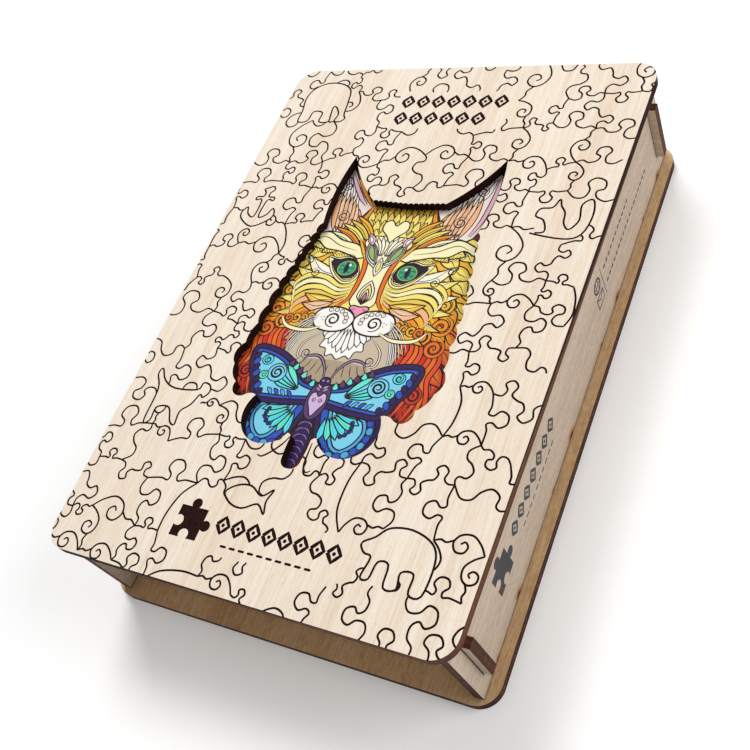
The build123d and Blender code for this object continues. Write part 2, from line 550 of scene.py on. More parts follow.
palette = {
    "line": (30, 18, 20), "cream": (255, 246, 196), "butter": (253, 232, 120), "straw": (236, 205, 92),
    "olive": (196, 172, 70), "gold": (247, 184, 48), "amber": (243, 148, 34), "orange": (238, 116, 32),
    "coral": (236, 84, 42), "red": (206, 52, 30), "brick": (150, 38, 26), "wine": (98, 24, 24),
    "peach": (246, 205, 172), "apricot": (248, 186, 138), "blush": (246, 190, 206), "pink": (240, 158, 182),
    "rose": (214, 110, 142), "white": (255, 252, 246), "pearl": (246, 232, 220), "stone": (206, 190, 164),
    "taupe": (178, 160, 134), "sage": (150, 186, 120), "green": (44, 158, 110), "jade": (90, 196, 150),
    "forest": (18, 84, 62), "ink": (40, 24, 48), "sky": (128, 216, 242), "cyan": (88, 230, 242),
    "aqua": (104, 240, 214), "blue": (84, 176, 232), "royal": (50, 88, 196), "navy": (44, 44, 116),
    "indigo": (50, 30, 88), "plum": (92, 62, 112), "mauve": (168, 134, 184), "lilac": (216, 184, 224),
}
maneColours = ["butter", "straw", "gold", "amber", "orange", "coral", "red", "brick", "wine"]
pen = 1.4  # how heavy the drawn lines are
shapes = []  # (loop, colour), from the back to the front


def fill(loop, colour):
    if len(loop) > 2 and abs(area(loop)) > 0.004:
        shapes.append((loop, colour))


def outlined(loop, colour, line=0.42):
    fill(swell(loop, line * pen / 2), "line")
    fill(swell(loop, -line * pen / 2), colour)


def stroke(path, width, colour="line", taper=0.3):
    for face in ribbon(path, width * (pen if colour == "line" else 1), taper):
        fill(face, colour)


def band(path, width, colour, taper=0.3, line=0.34):  # a coloured ribbon with a dark edge
    stroke(path, width / pen + 2 * line, "line", taper)
    stroke(path, width, colour, taper)


def both(draw, points, *rest):  # the same on the left and the right
    draw(points, *rest)
    draw(mirrored(points), *rest)


def twin(points):  # a closed outline from its right half
    return smoothLoop(points + mirrored(points[-2:0:-1]))


def leaf(root, tip, width, colour, bend=0.0, line=0.42, belly=0.55, steps=4):
    both(outlined, petal(root, tip, width, bend, belly, steps), colour, line)


def disc(middle, wide, high, colour, line, tilt=0.0, count=28):
    both(outlined, oval(middle, wide, high, tilt, count), colour, line)


def mark(points, width, steps=6, colour="line", taper=0.3):
    both(stroke, smoothPath(points, steps), width, colour, taper)


def lock(points, width, colour, taper=0.3, line=0.34, steps=6):  # a wavy lock of hair
    both(band, smoothPath(points, steps), width, colour, taper, line)


def spiral(middle, radius, turns, start, hand, width, taper=0.3):
    both(stroke, curl(middle, radius, turns, start, hand), width, "line", taper)


def vein(root, tip):
    root, tip = Vector(root), Vector(tip)
    both(stroke, [root.lerp(tip, 0.15), root.lerp(tip, 0.8)], 0.24)


def feather(root, tip, width, bend, colour, inner=None):  # a petal with a vein and a paler heart
    root, tip = Vector(root), Vector(tip)
    leaf(root, tip, width, colour, bend)
    if inner:
        both(fill, petal(root.lerp(tip, 0.12), root.lerp(tip, 0.84), width * 0.52, bend * 0.9), inner)
    middle = root.lerp(tip, 0.5) + Vector((root.y - tip.y, tip.x - root.x)).normalized() * bend
    mark([root.lerp(tip, 0.1), middle, root.lerp(tip, 0.86)], 0.26, 4)


def drawMane():
    for y, high, colour in ((12, 34, "gold"), (-14, 22, "orange"), (-31, 18, "red"), (-46, 12, "brick")):
        fill(oval((0, y), 46, high), colour)
    rows = 14
    for column in range(4, -1, -1):
        for row in range(rows, -1, -1):
            share = (row + 0.5 * (column % 2)) / rows
            root = (17 + 6.2 * column + 3.4 * math.sin(math.pi * share), 33 - 92 * share)
            reach = 11.5 + 1.5 * math.sin(row * 2.3 + column)
            tip = around(root, reach, reach, -22 - 52 * share)
            level = (30 - root[1]) / 9.2 + 0.5 * math.sin(row * 1.9 + column * 2.7)
            level = int(min(max(level, 0), 8))
            bend = 1.4 if row % 2 else -1.0
            feather(root, tip, 6.6, bend, maneColours[level], maneColours[max(level - 1, 0)])
    for n in range(8, -1, -1):  # long wavy locks falling at the sides, the outermost first
        x, fall = 22.5 + 2.1 * n, 0.5 * n
        points = [(x - 2, -10 - 0.4 * n), (x + 2.4, -18 - fall), (x + 0.6, -27 - fall),
                  (x + 3.4, -37 - fall), (x + 0.8, -46 - 0.4 * n)]
        lock(points, 1.9, ("coral", "red", "coral", "orange")[n % 4], 0.15)
    for x, y, size, start, hand, colour in (
        (35.0, 1.0, 4.2, 100, -1, "gold"), (37.0, -8.0, 4.6, 80, -1, "amber"),
        (31.2, -13.0, 3.8, 200, 1, "amber"), (37.4, -17.6, 4.2, 60, -1, "orange"),
        (36.8, -38.0, 3.6, 90, -1, "red"),
    ):
        both(band, curl((x, y), size, 1.8, start, hand, 0.1, 18), size * 0.3, colour, 0.6, 0.36)


def drawCrown():
    fill(smoothLoop([(-20, 30), (-19, 48), (0, 50), (19, 48), (20, 30), (0, 26)]), "straw")
    for row, (base, tall, wide, odd, even) in enumerate((
        (41.5, 6.6, 2.6, "olive", "gold"), (37.5, 6.4, 2.9, "straw", "butter"),
        (33.0, 6.8, 3.1, "butter", "straw"), (28.5, 6.6, 3.2, "cream", "butter"),
    )):
        for n in range(7 - row // 2):
            x = (n + 0.5 * (row % 2)) * (2.7 + 0.15 * row)
            leaf((x, base), (x * 1.08, base + tall), wide, odd if n % 2 else even, 0.2, 0.28, 0.45)
            both(stroke, [Vector((x, base + 0.8)), Vector((x * 1.05, base + tall * 0.7))], 0.24)


def drawEars():
    ear = smoothPath([(15, 46), (22.5, 54), (30, 63.5), (36.5, 74)], 4)
    ear += smoothPath([(38.5, 62), (38, 48), (35, 33), (24, 30)], 4)
    both(outlined, ear, "pearl", 0.6)
    for n in range(7):  # long white hairs up to the tip
        root = (23.0 + 1.5 * n, 44 + 1.1 * n)
        tip = (28.6 + 1.15 * n, 56.5 + 2.4 * n - 0.2 * n * n)
        leaf(root, tip, 2.3, ("white", "pearl")[n % 2], 0.9 - 0.2 * n, 0.3, 0.5)
    for n in range(7):  # ruddy hairs rising from the ear's root
        root = (20.0 + 1.4 * n, 33.5 - 0.3 * n)
        tip = (21.0 + 1.95 * n, 47.0 + 1.6 * n - 0.25 * (n - 3) ** 2)
        leaf(root, tip, 2.8, ("apricot", "peach")[n % 2], 1.2 - 0.4 * n, 0.32, 0.5)
        vein(root, tip)
    both(fill, smoothLoop([(32.2, 66.0), (36.6, 74.2), (38.2, 64.0), (35.6, 66.0)]), "line")
    for width, colour, points in (
        (1.5, "blush", [(36.6, 65), (37.1, 54), (35.8, 42), (33, 34)]),
        (1.5, "blush", [(18.6, 47.0), (22.4, 50.5), (27.2, 56.6), (32.2, 64.0)]),
        (1.3, "amber", [(15.6, 46.6), (21.4, 53.0), (27.4, 60.4)]),
        (1.7, "amber", [(14.4, 47), (15.8, 41), (18.6, 36.5), (18.0, 31)]),
    ):
        lock(points, width, colour, 0.5, steps=5)
    spiral((31.4, 56.5), 2.7, 1.9, 90, -1, 0.46)
    spiral((27.0, 40.4), 3.2, 1.9, 30, 1, 0.42)


def drawFace():
    fill(oval((0, 11), 25, 22), "butter")
    sweeps = ("orange", "amber", "gold", "straw", "butter", "cream", "butter", "cream")
    hearts = ("amber", "gold", "straw", "cream", "cream", "butter", "cream", "white")
    for n, (colour, heart) in enumerate(zip(sweeps, hearts)):  # out from the cheeks, the lowest first
        root = (9.5 + 0.5 * n, -3.8 + 1.9 * n)
        reach = 25 + 4.2 * math.sin(n * 0.5)
        feather(root, around(root, reach, reach, 12.5 * n - 62), 6.0, -2.6, colour, heart)
    for n, colour in enumerate(("gold", "straw", "butter", "amber", "cream", "gold")):  # brow to ear
        feather((7 + 1.6 * n, 28 - n), (20.5 + 2.6 * n, 41.5 - 2.3 * n), 3.0, 1.2, colour)
    brow = smoothPath([(7.4, 20.5), (13, 26.2), (22, 28.2), (30, 32), (38, 29)], 5)
    brow += smoothPath([(38.5, 24.5), (33.5, 27), (28, 23.4), (20.5, 22.4), (11, 19.4)], 5)
    both(outlined, brow, "cream", 0.5)
    mark([(13, 23.4), (22, 25.4), (30, 29.2), (36, 27.4)], 0.3, 5)
    for n in range(9):  # fine hairs under the brow
        x = 22 + 1.4 * n
        mark([(x, 19.8 + 0.2 * n), (x + 1.8, 21.2 + 0.3 * n), (x + 3.0, 23.2 + 0.3 * n)], 0.22, 3)
    for n in range(6, -1, -1):  # locks that flow under the eye and curl down at the cheek's edge
        points = [(6.4 + 0.4 * n, 7.0 - 1.5 * n), (13, 5.6 - 1.9 * n), (21, 9.2 - 2.5 * n),
                  (29 - 0.4 * n, 9.6 - 3.1 * n), (34 - 0.9 * n, 5.2 - 3.0 * n),
                  (33.0 - 0.9 * n, 1.4 - 2.6 * n)]
        colour = ("butter", "cream", "butter", "straw", "apricot", "gold", "amber")[n]
        lock(points, 1.9 + 0.1 * n, colour, 0.15)
    spiral((27.0, 11.0), 2.4, 1.7, 120, -1, 0.38)
    spiral((32.0, 17.0), 2.2, 1.6, 150, -1, 0.38)
    feather((12.0, -1.2), (27.5, 0.6), 4.6, -1.5, "gold", "butter")
    feather((12.5, -2.6), (26.6, -4.4), 5.0, -1.5, "apricot", "peach")
    feather((12.5, -4.4), (23.6, -9.6), 4.6, -1.5, "peach", "apricot")
    for n, colour in enumerate(("gold", "amber", "gold", "orange")):  # scrolled locks under the cheek
        scroll = curl((19.4 + 3.3 * n, -10.2 - 0.5 * n), 2.7, 1.5, 100 - 20 * n, -1, 0.15)
        both(band, scroll, 0.85, colour, 0.6, 0.32)


def drawEyes():
    pupil = (13.8, 14.4)
    middle = Vector(pupil)

    def eye(points):  # the eye is drawn large and shrunk about its middle
        return [middle + (Vector(p) - middle) * 0.74 for p in points]

    lid = smoothLoop([(4.6, 10.8), (8.6, 19.0), (15.0, 22.2), (22.0, 20.8), (28.0, 21.4), (22.4, 11.0),
                      (14.0, 4.6), (7.4, 5.2)])
    for inset, colour in ((0, "cream"), (1.5, "butter"), (2.6, "cream")):
        both(outlined, eye(swell(lid, -inset)), colour, 0.3)
    ball = smoothLoop([(6.8, 12.6), (9.6, 17.4), (15.0, 19.7), (20.2, 18.6), (24.0, 18.8), (19.6, 13.0),
                       (14.0, 9.0), (9.4, 9.4)])
    both(fill, eye(swell(ball, 0.9)), "line")
    both(fill, eye(ball), "ink")
    for wide, high, colour in ((6.0, 5.2, "forest"), (5.7, 4.9, "sage"), (5.0, 4.4, "forest"),
                               (4.7, 4.2, "green")):
        both(fill, eye(oval(pupil, wide, high)), colour)
    for n in range(14):  # spokes in the iris
        angle = 360 * n / 14
        spoke = [around((13.8, 14.5), 2.0, 2.9, angle), around(pupil, 4.3, 3.9, angle)]
        both(stroke, eye(spoke), 0.26, ("jade", "forest")[n % 2], 1.0)
    both(fill, eye(oval((13.9, 14.6), 1.5, 3.6)), "ink")
    both(fill, eye(oval((12.4, 16.6), 0.8, 0.8)), "white")
    upperRim = [(5.6, 12.0), (9.4, 18.7), (15.2, 20.7), (20.8, 19.4), (27.6, 21.0)]
    lowerRim = [(5.0, 11.0), (8.8, 8.4), (13.8, 8.0), (19.8, 11.6), (24.6, 17.6)]
    both(stroke, eye(smoothPath(upperRim, 6)), 0.9)
    both(stroke, eye(smoothPath(lowerRim, 6)), 0.4)
    for n in range(9):  # lashes
        x, y = 11.0 + 1.7 * n, 21.0 + 0.5 * math.sin(n * 0.4)
        both(stroke, eye(smoothPath([(x, y), (x + 1.2, y + 1.6), (x + 3.6, y + 2.8)], 3)), 0.24)


def drawNose():
    lock([(11.6, 28.5), (8.2, 22.4), (5.9, 15), (5.7, 6), (6.6, 0.5), (9.4, -3.6)], 1.6, "orange", 0.5)
    lock([(13.6, 29), (10.2, 24.0), (7.8, 20.0)], 1.0, "gold", 0.4)
    bridge = [(0, 33), (3.2, 31.5), (8.6, 31), (10.8, 27.5), (7.2, 22.5), (4.8, 15), (4.7, 6), (5.6, -1.6),
              (0, -4.4)]
    outlined(twin(bridge), "cream", 0.4)
    for n in range(4):  # a fan of locks between the heart and the brows
        tip = (1.2 + 2.4 * n, 31.6 - 0.4 * n)
        leaf((0.8 + 0.5 * n, 21.5), tip, 2.2, ("cream", "white")[n % 2], 0.3, 0.3, 0.6)
    for shrink, colour in ((0.0, "white"), (0.24, "cream"), (0.5, "sage")):  # nested drops
        root = Vector((1.8, 15.5)).lerp(Vector((6.4, 26.0)), shrink * 0.6)
        tip = Vector((8.4, 29.4)).lerp(Vector((3.4, 19)), shrink * 0.4)
        leaf(root, tip, 5.2 * (1 - shrink), colour, -0.5, 0.36, 0.6)
    leaf((6.8, 26.5), (10.4, 32.4), 3.2, "blush", 0.3, 0.34, 0.5)
    leaf((7.6, 27.7), (9.8, 31.2), 1.4, "white", 0.2, 0.24, 0.5)
    outlined(twin([(0, 28.6), (2.4, 31.6), (5.6, 34.8), (5.4, 38.6), (2.6, 39.6), (0, 37.0)]), "cream")
    outlined(petal((0, 21), (0, 11.5), 3.6, 0, 0.6), "white", 0.34)
    outlined(petal((0, 19.4), (0, 13.4), 1.8, 0, 0.6), "butter", 0.26)
    for high, wide, colour in ((9.6, 7.0, "white"), (8.0, 4.8, "butter"), (5.6, 2.9, "white"),
                               (4.0, 1.5, "rose")):
        outlined(petal((0, high), (0, 0.2 - high * 0.24), wide, 0, 0.66), colour, 0.36)
    nose = twin([(0, -3.2), (3.2, -2.8), (4.4, -4.2), (2.7, -5.6), (1.2, -6.9), (0, -8.8)])
    outlined(nose, "pink", 0.44)
    both(fill, oval((2.4, -4.5), 0.9, 0.5, -25, 14), "rose")


def drawMuzzle():
    outlined(twin([(0, -12), (14, -13), (22, -18), (24, -27), (16, -36), (0, -40)]), "stone", 0.4)
    fill(twin([(0, -28), (15, -30), (10, -37), (0, -39)]), "taupe")
    for n in range(6):
        x = 2.0 + 2.7 * n
        mark([(x, -30 + 0.4 * n), (x * 1.1, -33 + 0.5 * n), (x * 1.25, -36 + 0.7 * n)], 0.26, 3)
    beard = [(0, -27.5), (3.0, -25.6), (5.4, -26.6), (6.6, -23.4), (9.6, -22.6), (8.8, -19.2), (10.6, -16.6),
             (7.4, -13.2), (0, -11.5)]
    outlined(twin(beard), "white", 0.36)
    for n in range(4):
        x = 0.9 + 2.1 * n
        leaf((x * 0.6, -13.5), (x * 1.25, -24.6 + 1.7 * n), 2.5, "white", 0.3, 0.3, 0.75)
    lobe = smoothLoop([(0.2, -8.4), (3.4, -5.6), (9.5, -4.2), (16.2, -6.0), (18.2, -10.6), (15.2, -14.6),
                       (9.0, -15.8), (3.4, -14.6), (0.6, -11.8)])
    both(outlined, lobe, "white", 0.56)
    spiral((9.2, -10.2), 3.6, 1.7, 250, 1, 0.66, 0.4)
    for n in range(6):  # scalloped lace inside each lobe
        disc(around((9.6, -9.8), 6.21, 4.2, 70 + 24 * n), 1.0, 0.9, "pearl", 0.24, 0, 12)
    for n in range(5):
        dot = (12.2 + 1.25 * (n % 3), -9.0 - 1.5 * (n // 3) - 0.4 * (n % 3))
        both(fill, oval(dot, 0.28, 0.28, 0, 8), "line")
    stroke([Vector((0, -8.4)), Vector((0, -11.6))], 0.4, "line", 1.0)
    for n in range(7):  # whiskers
        start = (15.6 + 0.35 * n, -8.2 - 0.95 * n)
        points = [start, (22.5 - 0.2 * n, -13.0 - 1.7 * n), (27.5 - 0.9 * n, -20.5 - 1.6 * n)]
        lock(points, 0.34, "white", 0.2, 0.2)
    lock([(13, -14), (20, -16.5), (28.5, -15.5), (32.5, -11.5)], 1.3, "cream")
    lock([(11, -16.5), (17, -22), (17.4, -28), (13.5, -29)], 0.5, "pearl", 0.3, 0.26)
    spiral((14.0, -26.6), 2.2, 1.6, 250, 1, 0.36)


def drawWing(points, rings):  # the wing's outline, then a ring for each (inset, colour)
    loop = smoothLoop(points)
    for inset, colour in rings:
        both(outlined, swell(loop, -inset), colour, 0.44)


def drawLowerWings():
    outline = [(3, -44), (14, -45), (24.5, -47), (28.5, -55), (25.5, -63.5), (18.5, -68.5), (11, -66),
               (6, -57)]
    drawWing(outline, ((-2.6, "indigo"), (0.3, "royal"), (3.4, "blue"), (5.0, "sky")))
    for n in range(9):  # scallops on the border
        angle = 17 * n - 112
        place = around((15.2, -55.6), 11.2, 10.6, angle)
        disc(place, 1.7, 1.4, ("royal", "blue")[n % 2], 0.28, angle + 90, 16)
    for n in range(9):  # rays
        angle = 15.5 * n - 92
        root, tip = around((7.0, -49.0), 3.2, 3.0, angle), around((7.6, -50.0), 14.2, 11.6, angle)
        leaf(root, tip, 2.7, ("cyan", "aqua", "cyan")[n % 3], 0.3, 0.4, 0.7)
        vein(root, tip)
    for n in range(5):
        disc(around((14.2, -54.2), 4.6, 4.4, 24 * n - 70), 0.9, 0.9, "navy", 0.22, 0, 12)


def drawUpperWings():
    outline = [(2.6, -40.5), (10, -38), (18, -31.5), (27, -27.5), (36, -27), (35.5, -34), (31.5, -41),
               (27.5, -48), (20, -48.5), (9, -47.5), (3, -46)]
    drawWing(outline, ((-1.5, "indigo"), (0.7, "royal"), (2.2, "sky")))
    for n in range(7):  # scallops along the edge
        t = n / 6
        place = (34.6 - 8.2 * t + 1.2 * math.sin(3 * t), -30.5 - 15.5 * t)
        disc(place, 1.8, 1.25, ("indigo", "royal")[n % 2], 0.3, 115, 16)
    for n, colour in enumerate(("cyan", "aqua", "cyan", "sky", "aqua")):  # petals fanning from the root
        angle = 12 + 9.5 * n
        root = around((9.0, -43.2), 2.0, 1.6, angle)
        reach = 15.5 - 1.5 * abs(n - 3)
        tip = around((root[0], root[1] - 0.4), reach, reach * 0.9, angle)
        leaf(root, tip, 2.6, colour, 0.4, 0.4, 0.7)
    disc((22.5, -36.8), 4.2, 4.0, "sky", 0.34)
    spiral((22.5, -36.8), 3.2, 1.9, 180, -1, 0.7, 0.4)
    disc((29.2, -31.8), 2.5, 2.3, "cyan", 0.32)
    spiral((29.2, -31.8), 1.8, 1.6, 90, -1, 0.5)
    disc((28.0, -38.6), 2.0, 1.9, "aqua", 0.3)
    spiral((28.0, -38.6), 1.4, 1.5, 0, 1, 0.32)
    for n in range(6):  # teeth along the front edge
        x, y = 5.4 + 2.5 * n, -40.6 + 1.5 * n
        leaf((x, y), (x - 0.6, y + 3.4), 2.5, ("aqua", "plum")[n % 2], 0, 0.3, 0.3, 3)
    for n in range(4):
        x = 11.5 + 3.0 * n
        leaf((x, -46.6), (x + 3.1, -43.6), 1.6, ("royal", "blue")[n % 2], 0.3, 0.28, 0.6)


def drawBody():
    feeler = [(1.2, -37.5), (3.2, -31.5), (7.2, -27.2), (12.2, -27.6), (13.8, -30.4)]
    mark(feeler, 1.1, taper=0.4)
    mark(feeler, 0.5, colour="mauve", taper=0.4)
    mark([(2.4, -52), (4.8, -60), (6.6, -66), (10, -69.5), (11.4, -67)], 0.7, taper=0.4)
    outlined(petal((0, -51), (0, -77.5), 8.4, 0, 0.6, 6), "indigo", 0.4)
    for n in range(7):
        y = -55.0 - 2.6 * n
        mark([(0, y), (1.8, y - 0.4), (3.0, y - 1.8)], 0.3, 3, "mauve")
    outlined(oval((0, -45.5), 4.8, 8.6), "plum", 0.4)
    heart = [(0, -52.6), (2.0, -49.4), (3.6, -46.4), (3.3, -43.4), (1.7, -42.4), (0, -44)]
    outlined(twin(heart), "lilac", 0.36)
    spiral((1.5, -45.6), 1.0, 1.4, 90, 1, 0.28)
    for n in range(3):
        tip = (2.9 - 0.5 * n, -40.2 + 1.6 * n)
        leaf((0.4, -42 + 1.2 * n), tip, 1.5, ("mauve", "lilac")[n % 2], 0.2, 0.26, 0.6, 3)
    outlined(oval((0, -37.6), 2.3, 2.0), "indigo", 0.36)
    both(fill, oval((1.0, -37.2), 0.55, 0.5, 0, 10), "mauve")


fill([Vector(p) for p in ((-90, -125), (90, -125), (90, 125), (-90, 125))], "wine")  # the ground
for draw in (drawMane, drawCrown, drawEars, drawFace, drawEyes, drawNose, drawMuzzle, drawLowerWings,
             drawUpperWings, drawBody):
    draw()
print("picture drawn:", len(shapes), "shapes")


def paintedPieces(rims, centre, grow):  # cuts the picture along the rims: one sheet of faces for each rim
    moved = [[Vector((centre[0] + p[0] * grow, centre[1] + p[1] * grow)) for p in loop] for loop, _ in shapes]
    colours = [linear(*palette[colour]) for _, colour in shapes]
    numbers = np.array([list(palette).index(colour) for _, colour in shapes])
    corners, faces, middles = flatten(rims + moved)
    owners = topmost(middles, rims)
    marks = np.where(owners < 0, -1, owners * len(palette) + numbers[topmost(middles, moved)])
    corners, faces, middles = merge(corners, faces, marks)
    found = [([], [], []) for _ in rims]
    numbered = [{} for _ in rims]
    for face, owner, top in zip(faces, topmost(middles, rims), topmost(middles, moved)):
        if owner >= 0:
            points, trimmed, inks = found[owner]
            for v in face:
                if v not in numbered[owner]:
                    numbered[owner][v] = len(points)
                    points.append(corners[v])
            trimmed.append([numbered[owner][v] for v in face])
            inks.append(colours[top])
    return found


def paint(piece, inks):  # the last faces are the sides and the underside
    layer = piece.data.attributes.new("ink", "FLOAT_COLOR", "CORNER")
    bareWood = linear(205, 178, 144)
    for number, face in enumerate(piece.data.polygons):
        colour = inks[number] if number < len(inks) else bareWood
        for corner in face.loop_indices:
            layer.data[corner].color = (*colour, 1)


# finishes

sheets = {  # each sheet's finish, the way it is thick and the way its grain runs
    "base_plate": ("base", "Z", "Y"),
    "long_wall_right": ("wall", "X", "Y"), "long_wall_left": ("wall", "X", "Y"),
    "short_wall_front": ("wall", "Y", "X"), "short_wall_back": ("wall", "Y", "X"),
    "lid_batten_left": ("inside", "X", "Y"), "lid_batten_right": ("inside", "X", "Y"),
    "lid_batten_front": ("inside", "Y", "X"), "lid_batten_back": ("inside", "Y", "X"),
}
for name, (finish, thick, grain) in sheets.items():
    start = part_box(name)[0]["XYZ".index(thick)] / mm
    seam = baseHigh.z / mm if name.startswith("long_wall") else None
    nodes[name].data.materials.clear()
    nodes[name].data.materials.append(plyMaterial(name + "Plywood", finish, thick, start, grain, seam))
veneerLid = plyMaterial("lidPlywood", "lid", "Z", lidLow.z / mm)
charred = charredMaterial()
print("plywood finished")


# the picture under the window, and the jigsaw's own print

picture = {"middle": (-0.8, 1.4), "grow": 1.0, "gloss": 0.58, "wear": 0.02}
jigsawPrint = {"middle": (0.0, 2.0), "grow": 1.44, "gloss": 0.55, "wear": 0.05}

pictureInk = printMaterial("printedPicture", picture["gloss"], picture["wear"])
jigsawInk = printMaterial("printedJigsaw", jigsawPrint["gloss"], jigsawPrint["wear"])


def printOn(names, suffix, look, material, body):
    rims = [outlines(name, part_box(name)[1].z)[0] for name in names]
    for name, (points, faces, inks) in zip(names, paintedPieces(rims, look["middle"], look["grow"])):
        low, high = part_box(name)
        piece = board(name + suffix, points, faces, low.z / mm, high.z / mm, [material])
        paint(piece, inks)
        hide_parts(name)
        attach(piece, body)


printOn(["picture_panel"], "_printed", picture, pictureInk, "lid")
printOn(jigsawNames, "_printed", jigsawPrint, jigsawInk, "jigsaw")
print("pictures printed")


# the cutting lines engraved in the lid

engraving = {
    "width": 0.78, "depth": 0.3, "columns": 10, "rows": 14, "jitter": 0.26, "gap": 1.7, "seed": 11,
    "missing": 0.05, "tries": 12, "shortest": 14,  # a shorter stretch, in points, is left out
}
lineShapes = {  # along the line and across it, as shares of its length
    "knob": [[(0, 0), (0.26, 0.03), (0.40, 0.0), (0.43, 0.10), (0.34, 0.22), (0.41, 0.36), (0.58, 0.36),
              (0.66, 0.22), (0.57, 0.10), (0.61, 0.0), (0.76, 0.03), (1, 0)]],
    "hook": [[(0, 0), (0.18, -0.10), (0.34, -0.05), (0.36, 0.12), (0.26, 0.26), (0.35, 0.39), (0.53, 0.37),
              (0.59, 0.22), (0.49, 0.13), (0.55, 0.01), (0.72, -0.03), (0.86, 0.05), (1, 0)]],
    "wave": [[(0, 0), (0.2, 0.15), (0.38, 0.10), (0.46, -0.08), (0.60, -0.20), (0.77, -0.14), (0.80, 0.02),
              (0.90, 0.06), (1, 0)]],
    "twoKnobs": [[(0, 0), (0.15, 0.0), (0.20, 0.12), (0.13, 0.23), (0.24, 0.31), (0.35, 0.22), (0.31, 0.06),
                  (0.43, -0.02), (0.55, -0.05), (0.61, -0.17), (0.55, -0.29), (0.68, -0.37), (0.80, -0.26),
                  (0.76, -0.10), (0.85, 0), (1, 0)]],
    "scroll": [[(0, 0), (0.14, 0.17), (0.34, 0.29), (0.55, 0.24), (0.64, 0.08), (0.55, -0.07), (0.40, -0.06),
                (0.35, 0.06), (0.43, 0.14), (0.50, 0.08)],
               [(0.62, 0.13), (0.76, 0.04), (0.88, 0.06), (1, 0)]],
    "bow": [[(0, 0), (0.3, 0.12), (0.7, 0.10), (1, 0)]],
}
figures = {  # closed outlines cut among the lines: place, size, and points
    "elephant": ((-63, 103), 1.0, [
        (-12, 3), (-10, 9), (-4, 12.5), (4, 12), (10, 8), (12, 0), (13, -7), (14.5, -9.5), (12.5, -11.5),
        (9.5, -11), (10, -7), (7.5, -3), (5.5, -2.5), (6, -7), (6.5, -11.5), (1.5, -11.5), (1, -6),
        (-4, -5.5), (-5, -11), (-10, -11.5), (-10.5, -5)]),
    "anchor": ((-68, 41), 0.9, [
        (-1, 12), (1.5, 13), (3, 11), (1.4, 9), (1.6, 6.5), (5, 6.2), (5, 4.2), (1.6, 4.2), (1.4, -6),
        (5.5, -4.5), (7.4, -0.5), (9.6, -4), (7.6, -8), (0, -12), (-7.6, -8), (-9.6, -4), (-7.4, -0.5),
        (-5.5, -4.5), (-1.4, -6), (-1.6, 4.2), (-5, 4.2), (-5, 6.2), (-1.6, 6.5), (-1.4, 9), (-3, 11)]),
    "squirrel": ((66, 45), 0.9, [
        (-9, -10), (-3, -9), (-5, -3), (-9, -1), (-8, 3), (-3, 4), (-1, 8.5), (0.5, 5), (3, 1.5), (4, -4),
        (7, -7), (10, -2), (9, 6), (13, 9), (15, 1), (13, -9), (6, -12)]),
    "cat": ((-58, -58), 0.95, [
        (-12, -10), (-9, -9), (-9, -3), (-3, -2), (1, -8), (4, -9), (3.4, -3), (7, 1), (9, 6), (11, 5),
        (13, 8), (11.5, 11), (8, 11.5), (6.5, 8), (-5, 7), (-12, 10), (-16, 15), (-17, 12), (-13, 5)]),
    "bear": ((56, -97), 1.0, [
        (-14, 3), (-10, 6), (-6, 10), (2, 11), (10, 8), (13, 2), (12.5, -9), (8, -9.5), (7.5, -3), (3, -3.5),
        (3.5, -9), (-1, -9.5), (-2, -2), (-6, -2), (-7, -8), (-10, -8), (-9, -1), (-12, 0)]),
    "fish": ((-8, -88), 0.8, [
        (-12, 0), (-7, 4.5), (0, 5.5), (7, 2), (12, 6), (10.5, 0), (12, -6), (7, -2), (0, -5.5), (-7, -4.5)]),
}
quietPlaces = [((-25, 88), (29, 109)), ((-35, -110.5), (39, -94))]  # kept clear for the badges

windowRim = outlines("lid_plate", lidHigh.z)[1]


def placed(points, place, size):
    return [Vector((place[0] + x * size, place[1] + y * size)) for x, y in points]


figureLoops = [smoothLoop(placed(points, place, size), 4) for place, size, points in figures.values()]
windowMargin = swell(windowRim, -0.8)
figureMargins = [swell(loop, -0.3) for loop in figureLoops]


def stretches(path):  # the parts of a path that lie on bare lid
    points = np.array([p[:] for p in path])
    bare = (np.abs(points) <= (lidHigh.x / mm + 0.5, lidHigh.y / mm + 0.5)).all(1)
    bare &= topmost(points, [windowMargin] + figureMargins) < 0
    for low, high in quietPlaces:
        bare &= ~((points > low) & (points < high)).all(1)
    found = [[]]
    for point, isBare in zip(path, bare):
        if isBare:
            found[-1].append(point)
        else:
            found.append([])
    return [part for part in found if len(part) >= engraving["shortest"]]


def drawLine(start, end, points, flip):
    along = end - start
    across = Vector((-along.y, along.x)) * flip
    return smoothPath([start + along * a + across * b for a, b in points], 5)


def clear(lines, drawn, ends):  # do the lines keep their distance from those drawn, away from their ends?
    points = np.array([p[:] for line in lines for p in line])
    for end in ends:
        points = points[np.hypot(*(points - end[:]).T) > engraving["gap"] * 1.2]
    low, high = points.min(0) - engraving["gap"], points.max(0) + engraving["gap"]
    near = drawn[((drawn > low) & (drawn < high)).all(1)]
    gaps = np.hypot(*(points[:, None] - near[None]).transpose(2, 0, 1))
    return gaps.min(initial=99) > engraving["gap"]


